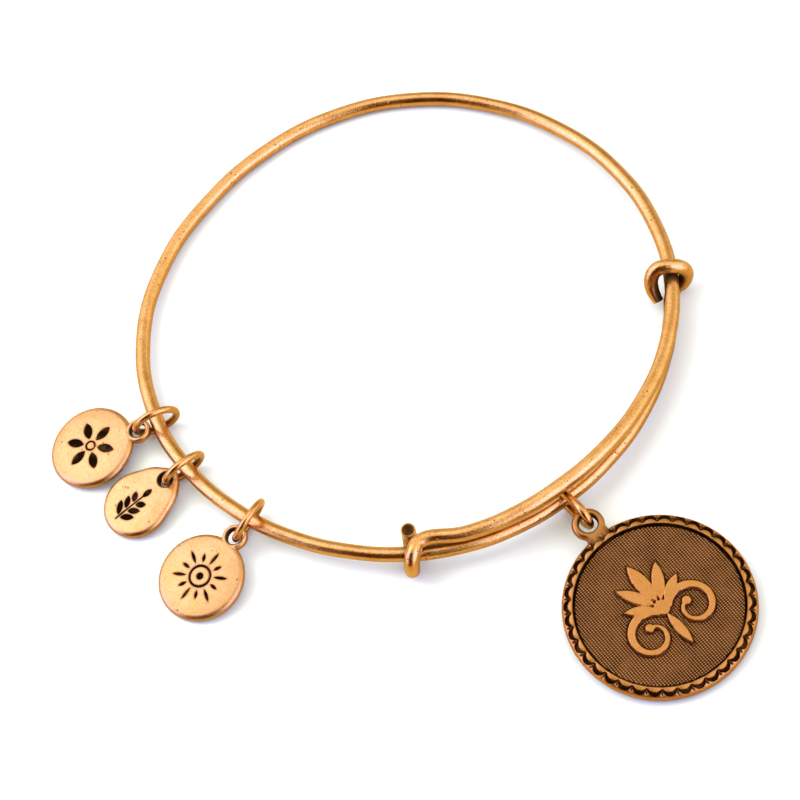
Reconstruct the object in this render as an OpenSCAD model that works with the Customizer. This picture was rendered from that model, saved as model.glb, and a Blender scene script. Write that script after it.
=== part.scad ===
// Expandable wire bangle with a medallion and three small charms.
// One round wire makes about one and a quarter turns, and each end wraps round
// the other stretch as a loop that slides along it.
// The bangle lies flat: z = 0 is the surface that it lies on, and the origin is
// on that surface at the middle of the ring.
// Angles along the wire are "turns": degrees clockwise from +X, seen from above.

/* [Bangle wire] */
// Diameter of the bangle wire
wire_d = 1.8; // [1.6:0.05:1.8]
// Mean radius of the bangle, to the middle of the wire
bangle_r = 32.8; // [32.8:0.1:33.2]
// Sides of the round wire
wire_sides = 14; // [10:2:16]

/* [Sliding loops] */
// Turn at which the first end wraps the upper stretch
loop_1_turn = 13.1; // [12.5:0.1:14]
// Turn at which the second end wraps the lower stretch
loop_2_turn = 463.9; // [463:0.1:466]
// Gap between the first loop and the wire inside it, on the outer side
loop_1_gap = 0.12; // [0.1:0.01:0.2]
// Extra gap of the first loop on the inner side, where it stands open
loop_1_open = 0.5; // [0.3:0.1:0.8]
// How far the tapered tip of the first loop runs on along the wire
loop_1_reach = 2.8; // [2.2:0.1:3.2]
// Gap between the second loop and the wire inside it
loop_2_gap = 0.13; // [0.12:0.01:0.2]
// Extra gap of the second loop at its cut end
loop_2_open = 0.9; // [0.6:0.1:1.1]

/* [Medallion] */
// Diameter of the medallion
medallion_d = 22.4; // [22.2:0.2:22.8]
// Thickness of the medallion
medallion_t = 1.7; // [1.5:0.1:1.9]
// Diameter of the sunk woven field
field_d = 19.8; // [19.2:0.2:20]
// Depth of the field below the rim
field_depth = 0.4; // [0.2:0.05:0.6]
// Number of half-moon cuts round the border
border_repeats = 38; // [30:1:44]
// Height of the raised ornament above the field
ornament_h = 0.45; // [0.2:0.05:0.6]
// Tilt of the medallion as it lies, with its lug raised by its link
medallion_tilt = 6.25; // [6:0.05:6.4]

/* [Small charms] */
// Diameter of the two round charms
charm_d = 10.8; // [10.4:0.1:11]
// Thickness of the small charms
charm_t = 1.3; // [1.2:0.05:1.4]
// Depth of the engraving on the small charms
engraving = 0.2; // [0.1:0.05:0.3]
// Tilt of the small charms as they lie
charm_tilt = 8.5; // [8:0.25:9]

/* [Jump rings] */
// Wire diameter of the small jump rings
ring_wire_d = 0.9; // [0.8:0.05:0.95]
// Outer diameter of the small jump rings
ring_od = 6.2; // [6.1:0.05:6.3]
// Wire diameter of the medallion's long link
link_wire_d = 1; // [0.9:0.05:1]
// Clear width inside the long link
link_inner_w = 2.15; // [2.1:0.05:2.2]
// Length of the long link over all
link_length = 7.9; // [7.8:0.1:8.1]

/* [Hidden] */
$fn = 64;
wire_r = wire_d / 2;

// The coil between the two loops. The real wire strays a little from a true
// circle, and climbs from the lower stretch over the single turn to the upper.
TURN = 0;
STRAY = 1;
HEIGHT = 2;
coil_route = [
    // turn, stray outwards from bangle_r, height of the wire's middle
    [22, 0.12, 1.20],
    [30, 0.14, 1.30],
    [45, 0.21, 1.55],
    [58, 0.30, 1.80],
    [70, 0.45, 2.10],
    [84, 0.62, 2.55],
    [95, 0.56, 2.80],
    [105, 0.36, 2.90],
    [116, 0.02, 2.85],
    [130, -0.28, 2.65],
    [145, -0.40, 2.38],
    [160, -0.26, 2.15],
    [175, -0.02, 2.00],
    [196, 0.13, 1.70],
    [216, -0.13, 1.38],
    [234, -0.42, 1.10],
    [252, -0.21, 0.94],
    [270, 0.12, 0.90],
    [288, 0.16, 0.98],
    [306, -0.10, 1.20],
    [324, -0.28, 1.60],
    [342, -0.19, 2.12],
    [360, 0.08, 2.70],
    [375, 0.40, 3.15],
    [390, 0.50, 3.75],
    [405, 0.50, 4.55],
    [418, 0.47, 5.15],
    [430, 0.38, 5.38],
    [442, 0.34, 5.12],
    [452, 0.20, 4.90]
];
// Longest step between two sections of the sweep, on the coil and on the loops
coil_step = 2.9;
loop_step = 0.62;

// A polar place is [turn, radius, height]
function at_turn(q) = [q[TURN], bangle_r + q[STRAY], q[HEIGHT]];
function xyz(p) = [p.y * cos(p.x), -p.y * sin(p.x), p.z];
function unit(v) = v / norm(v);
// Height and stray of the coil at a turn, read straight from the table
function route_at(turn) = [
    turn,
    bangle_r + lookup(turn, [for (q = coil_route) [q[TURN], q[STRAY]]]),
    lookup(turn, [for (q = coil_route) [q[TURN], q[HEIGHT]]])
];
// A place beside the wire: along it in the direction of travel, outwards, up
function beside(p, along, out, up) =
    [p.x + along / p.y * 180 / PI, p.y + out, p.z + up];

// First loop: from under the upper stretch, up its outer side, over it and
// down its inner side to a tapered tip. Angle 0 is inwards and 90 is up.
loop_1_centre = route_at(360 + loop_1_turn);
loop_1_from = -42;
loop_1_to = 258;
loop_1_angles = [for (a = [loop_1_from:30:loop_1_to]) a];
function loop_1_r(a) =
    wire_d + loop_1_gap + loop_1_open * max(0, cos(a));
// The tip leaves the round of the loop at one angle and runs on along the wire,
// and past another angle so does the foot, less
tip_from = 60;
tip_curve = 1.8;
foot_from = 180;
loop_1_foot = 0.7;
function loop_1_along(a) =
    loop_1_reach * pow(max(0, tip_from - a) / (tip_from - loop_1_from), tip_curve)
    + loop_1_foot * max(0, a - foot_from) / (loop_1_to - foot_from);
function loop_1_place(a) = beside(
    [loop_1_centre.x - 360, loop_1_centre.y, loop_1_centre.z],
    loop_1_along(a), -loop_1_r(a) * cos(a), loop_1_r(a) * sin(a));

// Second loop: over the lower stretch, down its outer side, under it and up
// its inner side, so that the cut end looks upwards.
loop_2_centre = route_at(loop_2_turn - 360);
loop_2_from = 78;
loop_2_to = 392;
loop_2_angles = [for (a = [loop_2_from:26:loop_2_to]) a];
// The loop sets off along the wire, closes almost on itself past its outer
// side, and opens a little past its foot
loop_2_entry = 1.1;
loop_2_drift = 0.3;
drift_rate = 0.75;
outer_side = 180;
loop_2_foot = 270;
function loop_2_along(a) =
    loop_2_drift * sin(drift_rate * max(0, a - outer_side))
    - loop_2_entry * pow(max(0, outer_side - a) / (outer_side - loop_2_from), 2);
function loop_2_r(a) = wire_d + loop_2_gap
    + loop_2_open * max(0, a - loop_2_foot) / (loop_2_to - loop_2_foot);
function loop_2_place(a) = beside(
    [loop_2_turn, loop_2_centre.y, loop_2_centre.z],
    loop_2_along(a), -loop_2_r(a) * cos(a), loop_2_r(a) * sin(a));

// The whole route of the wire, from tip to cut end
route = concat(
    [for (a = loop_1_angles) loop_1_place(a)],
    [for (q = coil_route) at_turn(q)],
    [for (a = loop_2_angles) loop_2_place(a)]
);
loop_1_rows = len(loop_1_angles);
coil_rows = len(coil_route);

// Centripetal spline through four polar places
function mix(a, b, ta, tb, t) = a * (tb - t) / (tb - ta) + b * (t - ta) / (tb - ta);
function knot(a, b) = sqrt(norm(xyz(a) - xyz(b)));
function spline(p, u) =
    let (
        t0 = 0,
        t1 = knot(p[0], p[1]),
        t2 = t1 + knot(p[1], p[2]),
        t3 = t2 + knot(p[2], p[3]),
        t = t1 + (t2 - t1) * u,
        a1 = mix(p[0], p[1], t0, t1, t),
        a2 = mix(p[1], p[2], t1, t2, t),
        a3 = mix(p[2], p[3], t2, t3, t),
        b1 = mix(a1, a2, t0, t2, t),
        b2 = mix(a2, a3, t1, t3, t)
    )
    mix(b1, b2, t1, t2, t);
route_ends = concat(
    [2 * route[0] - route[1]],
    route,
    [2 * route[len(route) - 1] - route[len(route) - 2]]
);
function on_coil(i) = i > loop_1_rows && i < loop_1_rows + coil_rows - 2;
function steps(i) = ceil(norm(xyz(route[i + 1]) - xyz(route[i]))
    / (on_coil(i) ? coil_step : loop_step));
wire_path = concat(
    [for (i = [0:len(route) - 2], k = [0:steps(i) - 1])
        xyz(spline([for (j = [0:3]) route_ends[i + j]], k / steps(i)))],
    [xyz(route[len(route) - 1])]
);

// Thickness along the wire: the first end tapers, the second is cut square
// with a worn edge
tip_length = 5.5;
tip_share = 0.6;
cut_edge = 0.82;
function taper(i) =
    let (run = loop_step * i / tip_length)
    i == len(wire_path) - 1 ? cut_edge
    : run < 1 ? tip_share + (1 - tip_share) * sqrt(run * (2 - run))
    : 1;

// Sweep of a round section along a path, with sections that don't twist
function heading(path, i) =
    i == 0 ? unit(path[1] - path[0])
    : i == len(path) - 1 ? unit(path[i] - path[i - 1])
    : unit(path[i + 1] - path[i - 1]);
function carried(side, t) = unit(side - (side * t) * t);
module swept_wire(path, r, sides) {
    n = len(path);
    sidesteps = [for (
        i = 0, s = carried([0, 0, 1], heading(path, 0));
        i < n;
        i = i + 1, s = i < n ? carried(s, heading(path, i)) : s
    ) s];
    points = [for (i = [0:n - 1], k = [0:sides - 1])
        path[i] + r * taper(i) * (
            cos(360 * k / sides) * sidesteps[i]
            + sin(360 * k / sides) * cross(heading(path, i), sidesteps[i]))];
    walls = [for (i = [0:n - 2], k = [0:sides - 1])
        [i * sides + k, (i + 1) * sides + k,
            (i + 1) * sides + (k + 1) % sides, i * sides + (k + 1) % sides]];
    polyhedron(
        points,
        concat(
            walls,
            [[for (k = [0:sides - 1]) k]],
            [[for (k = [sides - 1:-1:0]) (n - 1) * sides + k]]
        ),
        convexity = 12);
}
module bangle_wire() {
    color("peru") swept_wire(wire_path, wire_r, wire_sides);
}

// A charm is drawn face up round its own middle with its lug towards +Y, then
// laid with its lug towards the ring and its far edge on the surface. Swing
// turns it a little off the line to the middle of the bangle.
module laid(turn, reach, swing, tilt, r, t) {
    edge = t / 2;
    translate([reach * cos(turn), -reach * sin(turn),
            (r - edge) * sin(tilt) + edge * (1 - cos(tilt))])
        rotate([tilt, 0, 90 - turn + swing])
            children();
}
// Round blank with a fully rounded edge
module blank(r, t) {
    rotate_extrude() {
        translate([r - t / 2, t / 2]) circle(t / 2);
        square([r - t / 2, t]);
    }
}
// Lug with its neck, centred in the thickness of the charm
neck_share = 0.8;
module lug(r, t, lug_t, at, body_r) {
    translate([0, 0, (t - lug_t) / 2]) {
        translate([0, at, 0]) cylinder(h = lug_t, r = r);
        translate([-neck_share * r, body_r - t, 0])
            cube([2 * neck_share * r, at - body_r + t, lug_t]);
    }
}
// Hole through a lug, with a chamfer at each face
chamfer = 0.2;
module lug_hole(r, t, lug_t, at) {
    translate([0, at, t / 2]) {
        cylinder(h = 2 * t, r = r, center = true);
        for (side = [0, 1]) mirror([0, 0, side])
            translate([0, 0, lug_t / 2 - chamfer])
                cylinder(h = 2 * chamfer, r1 = r, r2 = r + 2 * chamfer);
    }
}
// Pointed oval between two arcs, standing on the origin
module petal(length, width) {
    sag = width / 2;
    arc_r = (length * length / 4 + sag * sag) / (2 * sag);
    translate([0, length / 2]) intersection() {
        translate([arc_r - sag, 0]) circle(arc_r);
        translate([sag - arc_r, 0]) circle(arc_r);
    }
}

// Medallion
medallion_turn = 70.55;
medallion_reach = 51.2;
medallion_swing = 1.1;
medallion_r = medallion_d / 2;
field_r = field_d / 2;
field_z = medallion_t - field_depth;
medallion_lug_at = 13;
medallion_lug_r = 1.95;
medallion_lug_t = 1.2;
medallion_hole_r = 1.1;
border_cut = 0.35;
groove_w = 0.2;
groove_depth = 0.15;

// One half-moon: what is left of a round cut beside the scale that it frames
module half_moon() {
    moon_r = 0.76;
    moon_at = 10.05;
    scale_r = 0.72;
    scale_at = 9.68;
    difference() {
        translate([moon_at, 0]) circle(moon_r);
        translate([scale_at, 0]) circle(scale_r);
    }
}
// Ornament: a palmette of five petals over two volutes, with a knot and a tail
knot_at = [0, -0.45];
knot_r = 1.05;
petal_foot = 0.6;
// turn to each side, length, width
palmette = [[0, 6, 2], [31, 5.2, 1.7], [61, 4, 1.4]];
tail_length = 5.2;
tail_width = 1.4;
volute_at = [2.95, -2.5];
volute_from = 145;
volute_sweep = 400;
volute_r = [3, 1];
volute_width = [1.3, 0.6];
volute_ball_r = 0.64;
volute_points = 48;
function share(pair, u) = pair[0] + (pair[1] - pair[0]) * u;
function volute_edge(u, side) =
    let (a = volute_from - volute_sweep * u)
    volute_at + (share(volute_r, u) + side * share(volute_width, u) / 2) * [cos(a), sin(a)];
module volute() {
    polygon([for (side = [1, -1], k = [0:volute_points])
        volute_edge((side > 0 ? k : volute_points - k) / volute_points, side)]);
    translate(volute_edge(1, 0)) circle(volute_ball_r);
}
module ornament() {
    for (side = [0, 1]) mirror([side, 0]) {
        volute();
        for (leaf = palmette)
            translate(knot_at) rotate(-leaf[0]) translate([0, petal_foot])
                petal(leaf[1], leaf[2]);
    }
    translate(knot_at) {
        circle(knot_r);
        rotate(180) translate([0, petal_foot]) petal(tail_length, tail_width);
    }
}
module medallion() {
    color("saddlebrown")
        laid(medallion_turn, medallion_reach, medallion_swing, medallion_tilt, medallion_r, medallion_t) {
            difference() {
                union() {
                    blank(medallion_r, medallion_t);
                    lug(medallion_lug_r, medallion_t, medallion_lug_t,
                        medallion_lug_at, medallion_r);
                }
                translate([0, 0, field_z]) cylinder(h = medallion_t, r = field_r);
                translate([0, 0, field_z - groove_depth])
                    rotate_extrude()
                        translate([field_r - groove_w, 0]) square([groove_w, medallion_t]);
                translate([0, 0, medallion_t - border_cut])
                    linear_extrude(medallion_t)
                        for (k = [0:border_repeats - 1])
                            rotate(90 + 360 * (k + 0.5) / border_repeats) half_moon();
                lug_hole(medallion_hole_r, medallion_t, medallion_lug_t, medallion_lug_at);
            }
            translate([0, 0, field_z - engraving])
                linear_extrude(engraving + ornament_h) ornament();
        }
}

// Long link of the medallion: two straight sides and two round ends, standing
// on edge round the lower stretch and through the lug
link_bend_r = (link_inner_w + link_wire_d) / 2;
link_inner_at = route_at(medallion_turn).y;
link_slope = 20;
link_z = link_bend_r + link_wire_d / 2;
module medallion_link() {
    half = link_length / 2 - link_bend_r - link_wire_d / 2;
    color("peru")
        rotate([0, 0, -medallion_turn])
            translate([link_inner_at, 0, link_z])
                rotate([90, -link_slope, 0])
                    translate([half, 0, 0]) {
                        for (end = [-1, 1]) translate([end * half, 0, 0])
                            rotate([0, 0, end > 0 ? -90 : 90])
                                rotate_extrude(angle = 180)
                                    translate([link_bend_r, 0]) circle(link_wire_d / 2);
                        for (side = [-1, 1]) translate([0, side * link_bend_r, 0])
                            rotate([0, 90, 0])
                                cylinder(h = 2 * half, r = link_wire_d / 2, center = true);
                    }
}

// Where each small charm and its jump ring lie
CHARM_TURN = 0;
CHARM_REACH = 1;
CHARM_SWING = 2;
RING_TURN = 3;
RING_REACH = 4;
RING_LEAN = 5;
// charm turn, charm reach, charm swing, ring turn, ring reach, ring lean
FLOWER = [175.3, 41.3, -8.9, 173.5, 32.85, -10];
LEAF = [161.05, 39.86, -1.5, 160, 33, -17];
SUN = [142, 41.25, -6.5, 140.2, 32.8, -20];
charm_r = charm_d / 2;
charm_lug_at = 6.2;
charm_lug_r = 1.55;
charm_lug_t = 1;
charm_hole_r = 0.95;
module round_charm(place) {
    laid(place[CHARM_TURN], place[CHARM_REACH], place[CHARM_SWING],
        charm_tilt, charm_r, charm_t)
        difference() {
            union() {
                blank(charm_r, charm_t);
                lug(charm_lug_r, charm_t, charm_lug_t, charm_lug_at, charm_r);
            }
            lug_hole(charm_hole_r, charm_t, charm_lug_t, charm_lug_at);
            translate([0, 0, charm_t - engraving]) linear_extrude(charm_t) children();
        }
}
// Engraved ring between two radii
module engraved_ring(outer_r, inner_r) {
    difference() {
        circle(outer_r);
        circle(inner_r);
    }
}
flower_petals = 6;
flower_petal_at = 0.95;
flower_petal_length = 2.3;
flower_petal_width = 1.15;
module flower_charm() {
    color("peru") round_charm(FLOWER) {
        for (k = [0:flower_petals - 1])
            rotate(360 * (k + 0.5) / flower_petals) translate([0, flower_petal_at])
                petal(flower_petal_length, flower_petal_width);
        engraved_ring(0.7, 0.45);
    }
}
sun_rays = 12;
sun_ray_at = 1.75;
long_ray = 1.75;
short_ray = 1.1;
ray_width = 0.42;
module sun_charm() {
    color("peru") round_charm(SUN) {
        engraved_ring(1.45, 1.15);
        circle(0.45);
        for (k = [0:sun_rays - 1])
            rotate(360 * k / sun_rays) translate([0, sun_ray_at])
                petal(k % 2 == 0 ? long_ray : short_ray, ray_width);
    }
}
// Drop-shaped charm: rounded blanks from its round end to its blunt point
leaf_r = 4.3;
leaf_tip_at = 4.7;
leaf_tip_r = 1.55;
leaf_waist_at = 2.3;
leaf_waist_r = 3.35;
leaf_hole_at = 4.6;
module drop_blank() {
    hull() {
        blank(leaf_r, charm_t, $fn = 40);
        translate([0, leaf_waist_at, 0]) blank(leaf_waist_r, charm_t, $fn = 32);
        translate([0, leaf_tip_at, 0]) blank(leaf_tip_r, charm_t, $fn = 24);
    }
}
module leaf_charm() {
    color("peru")
        laid(LEAF[CHARM_TURN], LEAF[CHARM_REACH], LEAF[CHARM_SWING],
            charm_tilt, leaf_r, charm_t)
            difference() {
                drop_blank();
                lug_hole(charm_hole_r, charm_t, charm_t, leaf_hole_at);
                translate([0, 0, charm_t - engraving])
                    linear_extrude(charm_t) leaf_sprig();
            }
}
// Engraved sprig: a stem with three pairs of leaves and one at its end
stem_from = -3.1;
stem_length = 4.4;
stem_width = 0.22;
leaf_rows = 3;
first_row = -2.5;
row_step = 1.2;
leaf_turn = 44;
leaf_lengths = [1.9, 1.65, 1.4];
leaf_width = 0.8;
end_leaf_at = 1.1;
end_leaf_length = 1.5;
module leaf_sprig() {
    translate([-stem_width / 2, stem_from]) square([stem_width, stem_length]);
    for (side = [-1, 1], row = [0:leaf_rows - 1])
        translate([side * stem_width, first_row + row_step * row])
            rotate(-side * leaf_turn) petal(leaf_lengths[row], leaf_width);
    translate([0, end_leaf_at]) petal(end_leaf_length, leaf_width);
}

// Small jump rings stand on edge, each round the bangle wire and through a lug
ring_bend_r = (ring_od - ring_wire_d) / 2;
module jump_ring(place) {
    lean = place[RING_LEAN];
    color("peru")
        rotate([0, 0, -place[RING_TURN]])
            translate([place[RING_REACH], 0, ring_bend_r * cos(lean) + ring_wire_d / 2])
                rotate([90 + lean, 0, 0])
                    rotate_extrude()
                        translate([ring_bend_r, 0]) circle(ring_wire_d / 2);
}
module flower_charm_ring() { jump_ring(FLOWER); }
module leaf_charm_ring() { jump_ring(LEAF); }
module sun_charm_ring() { jump_ring(SUN); }

bangle_wire();
medallion();
medallion_link();
flower_charm();
flower_charm_ring();
leaf_charm();
leaf_charm_ring();
sun_charm();
sun_charm_ring();
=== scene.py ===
# Expandable charm bangle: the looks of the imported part. Sizes are in millimetres until a
# piece is laid in its place, where they become metres.
import math

import bmesh
import bpy
from mathutils import Matrix, Vector, noise
from mathutils.bvhtree import BVHTree


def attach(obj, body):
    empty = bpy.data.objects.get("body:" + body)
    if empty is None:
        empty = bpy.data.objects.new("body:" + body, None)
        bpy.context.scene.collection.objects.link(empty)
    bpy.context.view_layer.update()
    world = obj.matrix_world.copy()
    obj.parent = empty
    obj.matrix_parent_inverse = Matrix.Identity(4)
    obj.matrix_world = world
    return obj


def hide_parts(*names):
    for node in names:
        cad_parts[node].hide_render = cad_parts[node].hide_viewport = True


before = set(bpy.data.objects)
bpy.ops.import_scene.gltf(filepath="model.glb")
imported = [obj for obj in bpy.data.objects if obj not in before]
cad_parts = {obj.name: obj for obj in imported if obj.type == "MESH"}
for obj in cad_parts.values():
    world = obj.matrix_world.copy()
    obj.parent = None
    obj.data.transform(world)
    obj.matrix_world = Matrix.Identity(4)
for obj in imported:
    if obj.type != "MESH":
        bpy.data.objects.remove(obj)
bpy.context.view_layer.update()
scene = bpy.context.scene
mm = 0.001
print("frame loaded")


# Helpers for meshes and shader nodes

weld = {"tube": 1e-4, "lathe": 1e-5, "carved": 0.001}  # points closer than this become one


def plainMesh(name, bm):
    mesh = bpy.data.meshes.new(name)
    bm.to_mesh(mesh)
    bm.free()
    return mesh


def mathNode(tree, operation, *values, clamp=False):
    node = tree.nodes.new("ShaderNodeMath")
    node.operation = operation
    node.use_clamp = clamp
    for socket, value in zip(node.inputs, values):
        if isinstance(value, (int, float)):
            socket.default_value = value
        else:
            tree.links.new(value, socket)
    return node.outputs[0]


def noiseNode(tree, vector, scale, detail, roughness):
    node = tree.nodes.new("ShaderNodeTexNoise")
    node.inputs["Scale"].default_value = scale
    node.inputs["Detail"].default_value = detail
    node.inputs["Roughness"].default_value = roughness
    tree.links.new(vector, node.inputs["Vector"])
    return node.outputs["Fac"]


def rampNode(tree, value, span, first=0, last=1):
    # goes from the first shade to the last over the span
    node = tree.nodes.new("ShaderNodeValToRGB")
    for element, place, shade in zip(node.color_ramp.elements, span, (first, last)):
        element.position = place
        element.color = (shade, shade, shade, 1)
    tree.links.new(value, node.inputs["Fac"])
    return node.outputs["Color"]


def mixColor(tree, amount, a, b):
    # a Mix node keeps its colors in inputs 6 and 7 and output 2
    node = tree.nodes.new("ShaderNodeMix")
    node.data_type = "RGBA"
    for k, value in ((0, amount), (6, a), (7, b)):
        if isinstance(value, tuple):
            node.inputs[k].default_value = (*value, 1)
        else:
            tree.links.new(value, node.inputs[k])
    return node.outputs[2]


def bumpNode(tree, height, distance):
    node = tree.nodes.new("ShaderNodeBump")
    node.inputs["Distance"].default_value = distance * mm
    tree.links.new(height, node.inputs["Height"])
    return node


def groupNode(tree, group):
    node = tree.nodes.new("ShaderNodeGroup")
    node.node_tree = group
    return node


def newGroup(name, inputs, outputs):
    group = bpy.data.node_groups.new(name, "ShaderNodeTree")
    for side, sockets in (("INPUT", inputs), ("OUTPUT", outputs)):
        for label, kind in sockets:
            group.interface.new_socket(name=label, in_out=side, socket_type="NodeSocket" + kind)
    return group, group.nodes.new("NodeGroupInput"), group.nodes.new("NodeGroupOutput")


# Camera, floor and lights

camera = {
    "place": (-0.536, -181.923, 288.86),
    "looksAt": (-3.62, -10.19, 0),
    "roll": 19.594,  # degrees that the picture is turned by
    "lens": 124.19,
    "sensor": 36,
    "nearest": 10,  # nothing closer than this is drawn
}


def addCamera():
    data = bpy.data.cameras.new("camera")
    data.lens = camera["lens"]
    data.sensor_width = camera["sensor"]
    data.clip_start = camera["nearest"] * mm
    obj = bpy.data.objects.new("camera", data)
    place = Vector(camera["place"]) * mm
    towards = Vector(camera["looksAt"]) * mm - place
    turn = towards.to_track_quat("-Z", "Y").to_matrix().to_4x4()
    roll = Matrix.Rotation(math.radians(-camera["roll"]), 4, "Z")
    obj.matrix_world = Matrix.Translation(place) @ turn @ roll
    scene.collection.objects.link(obj)
    scene.camera = obj


studio = {
    "floorSize": 1600,
    "floorDrop": 0.02,  # keeps it clear of what lies on it
    "floorRough": 0.9,
    "floorColor": (0.755, 0.795, 0.69),
    "floorMirrored": (0.48, 0.375, 0.145),  # what the metal sees of it
    "beyond": (1, 1, 1),  # what the camera sees past the floor
    "strength": 4,
    "tentColor": (0.32, 0.30, 0.255),
    # parts of the tent: turn and rise of the middle, half-widths where full and where gone,
    # all in degrees, and color
    "patches": {
        "upper": (118, 56, 4, 26, (0.37, 0.38, 0.52)),
        "softboxLeft": (172, 27, 12, 33, (0.44, 0.46, 1.05)),
        "softboxRight": (308, 31, 14, 36, (0.48, 0.52, 1.02)),
        "shade": (62, 22, 12, 42, (0.12, 0.095, 0.045)),
        "flagHigh": (228, 45, 25, 34, (0.022, 0.006, 0.0)),
        "flagLow": (238, 12, 29, 39, (0.022, 0.006, 0.0)),
    },
    # place, width, watts, seen in the metal
    "lights": {
        "key": ((-276, 149, 318), 240, 0.18, True),
        "floorLight": ((-250, 110, 320), 280, 1.0, False),
        "overhead": ((0, -10, 700), 900, 3.0, False),
    },
    "lightsFace": (0, -10, 0),
}


def addFloor():
    bm = bmesh.new()
    bmesh.ops.create_grid(bm, x_segments=1, y_segments=1, size=studio["floorSize"] / 2 * mm)
    mesh = plainMesh("floor", bm)
    paper = bpy.data.materials.new("floorPaper")
    paper.use_nodes = True
    tree = paper.node_tree
    shader = tree.nodes["Principled BSDF"]
    seen = tree.nodes.new("ShaderNodeLightPath").outputs["Is Camera Ray"]
    color = mixColor(tree, seen, studio["floorMirrored"], studio["floorColor"])
    tree.links.new(color, shader.inputs["Base Color"])
    shader.inputs["Roughness"].default_value = studio["floorRough"]
    shader.inputs["Specular IOR Level"].default_value = 0
    mesh.materials.append(paper)
    floor = bpy.data.objects.new("floor", mesh)
    floor.location.z = -studio["floorDrop"] * mm
    scene.collection.objects.link(floor)


def addLights():
    for name, (place, width, watts, mirrored) in studio["lights"].items():
        data = bpy.data.lights.new(name, "AREA")
        data.shape = "RECTANGLE"
        data.size = data.size_y = width * mm
        data.energy = watts
        light = bpy.data.objects.new(name, data)
        light.location = Vector(place) * mm
        light.visible_glossy = mirrored
        towards = Vector(studio["lightsFace"]) - Vector(place)
        light.rotation_euler = towards.to_track_quat("-Z", "Y").to_euler()
        scene.collection.objects.link(light)


def addTent():
    world = bpy.data.worlds.new("studio")
    world.use_nodes = True
    tree = world.node_tree
    towards = tree.nodes.new("ShaderNodeTexCoord")
    tent = studio["tentColor"]
    for *angles, color in studio["patches"].values():
        turn, rise, full, gone = (math.radians(angle) for angle in angles)
        facing = tree.nodes.new("ShaderNodeVectorMath")
        facing.operation = "DOT_PRODUCT"
        facing.inputs[1].default_value = (
            math.cos(rise) * math.cos(turn), math.cos(rise) * math.sin(turn), math.sin(rise))
        tree.links.new(towards.outputs["Generated"], facing.inputs[0])
        inside = rampNode(tree, facing.outputs["Value"], (math.cos(gone), math.cos(full)))
        tent = mixColor(tree, inside, tent, color)
    lit = tree.nodes["Background"]
    lit.inputs["Strength"].default_value = studio["strength"]
    tree.links.new(tent, lit.inputs["Color"])
    seen = tree.nodes.new("ShaderNodeBackground")
    seen.inputs["Color"].default_value = (*studio["beyond"], 1)
    path = tree.nodes.new("ShaderNodeLightPath")
    mix = tree.nodes.new("ShaderNodeMixShader")
    tree.links.new(path.outputs["Is Camera Ray"], mix.inputs["Fac"])
    tree.links.new(lit.outputs[0], mix.inputs[1])
    tree.links.new(seen.outputs[0], mix.inputs[2])
    tree.links.new(mix.outputs[0], tree.nodes["World Output"].inputs["Surface"])
    scene.world = world
    scene.view_settings.view_transform = "Standard"


addCamera()
addFloor()
addLights()
addTent()
print("camera and studio placed")


# Finishes

castGrain = {
    # scale per metre, detail, roughness
    "grain": (4200, 3, 0.7),
    "clouds": (420, 5, 0.62),
    "pitZones": (700, 2, 0.5),
    "pitCells": 1500,
    # where each mask begins and ends
    "grainSpan": (0.42, 0.58),
    "cloudSpan": (0.34, 0.66),
    "zoneSpan": (0.52, 0.57),
    "pitSpan": (0.08, 0.21),
    "grainHeight": 0.5,
}


def makeCastSkin():
    # Fine cast grain, scattered pits and slow unevenness, on a vector in metres
    group, source, result = newGroup(
        "castSkin", [("Vector", "Vector"), ("Pits", "Float")],
        [("Height", "Float"), ("Pits", "Float"), ("Clouds", "Float"), ("Grain", "Float")])
    vector = source.outputs["Vector"]
    grain = noiseNode(group, vector, *castGrain["grain"])
    clouds = noiseNode(group, vector, *castGrain["clouds"])
    zones = noiseNode(group, vector, *castGrain["pitZones"])
    cells = group.nodes.new("ShaderNodeTexVoronoi")
    cells.inputs["Scale"].default_value = castGrain["pitCells"]
    group.links.new(vector, cells.inputs["Vector"])
    near = rampNode(group, cells.outputs["Distance"], castGrain["pitSpan"], 1, 0)
    rare = rampNode(group, zones, castGrain["zoneSpan"])
    pits = mathNode(group, "MULTIPLY", near, rare)
    pits = mathNode(group, "MULTIPLY", pits, source.outputs["Pits"])
    height = mathNode(group, "MULTIPLY", grain, castGrain["grainHeight"])
    height = mathNode(group, "SUBTRACT", height, pits)
    group.links.new(height, result.inputs["Height"])
    group.links.new(pits, result.inputs["Pits"])
    group.links.new(rampNode(group, clouds, castGrain["cloudSpan"]), result.inputs["Clouds"])
    group.links.new(rampNode(group, grain, castGrain["grainSpan"]), result.inputs["Grain"])
    return group


drawn = {
    "stretch": (6, 26, 1),  # of the map: along the wire, round it
    "lines": (1, 4, 0.65),  # scale, detail, roughness
}


def makeDrawnLines():
    # Long fine lines that drawing leaves along a wire, on its own map: x along, y round
    group, source, result = newGroup("drawnLines", [("Vector", "Vector")], [("Height", "Float")])
    stretch = group.nodes.new("ShaderNodeMapping")
    stretch.inputs["Scale"].default_value = drawn["stretch"]
    group.links.new(source.outputs["Vector"], stretch.inputs["Vector"])
    lines = noiseNode(group, stretch.outputs[0], *drawn["lines"])
    group.links.new(lines, result.inputs["Height"])
    return group


wear = {
    "broken": (0.24, 0.88),  # how much the clouds break up tarnish and painted shade, and what is left anyway
    "grainShare": 0.5, "cloudShare": 0.5,  # what each gives to the mix of the two tones
    "pitDark": 0.8,
    "tarnishAndShadeRough": 0.75,
    "lacquerRough": 0.18, "lacquerIor": 1.58,
}


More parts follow.
